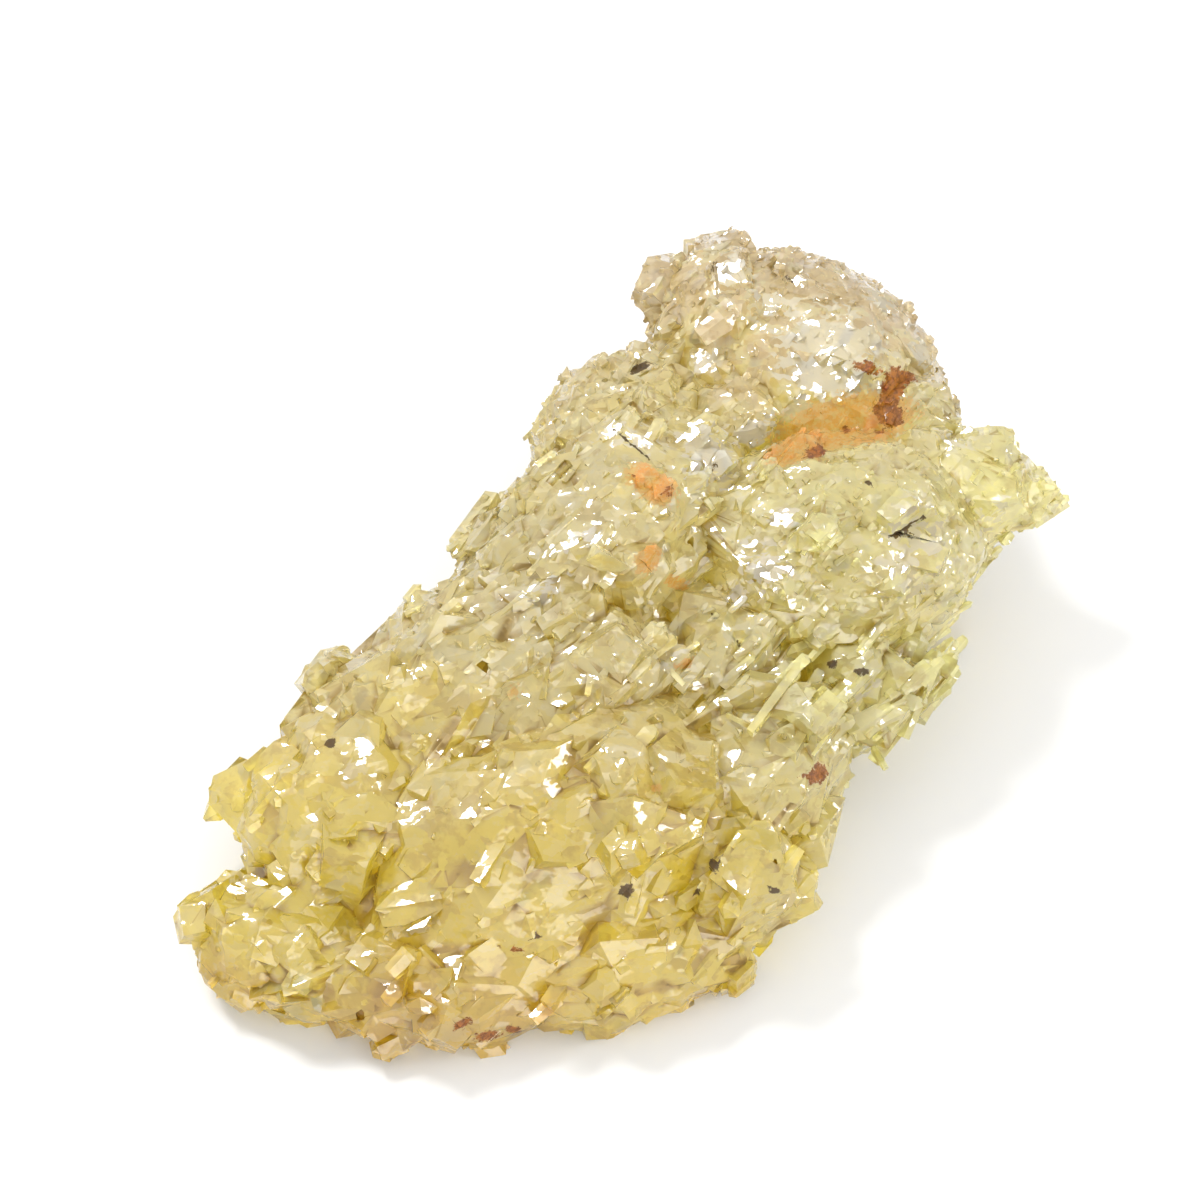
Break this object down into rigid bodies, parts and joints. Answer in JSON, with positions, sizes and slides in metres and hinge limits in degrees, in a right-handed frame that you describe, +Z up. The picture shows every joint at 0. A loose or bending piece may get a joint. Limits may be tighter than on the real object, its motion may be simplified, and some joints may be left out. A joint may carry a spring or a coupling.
{
  "type": "rough heliodor crystal",
  "caption": "Rough, etched heliodor (yellow beryl) crystal with a knobbly faceted skin, lying on its back as a display specimen.",
  "frame": {"origin": "middle of the stone's outline on the table, at the level that it rests on", "axes": "+X along the stone's long axis towards its thick right end, +Y away from the side that faces the viewer, +Z up"},
  "size_m": [0.0522, 0.0324, 0.0155],
  "materials": {
    "heliodor": "pale lemon yellow, translucent, frosted by etching with glossy facets and rusty stains in the seams"
  },
  "bodies": {
    "root": {"heliodor_stone": "heliodor"}
  },
  "joints": []
}
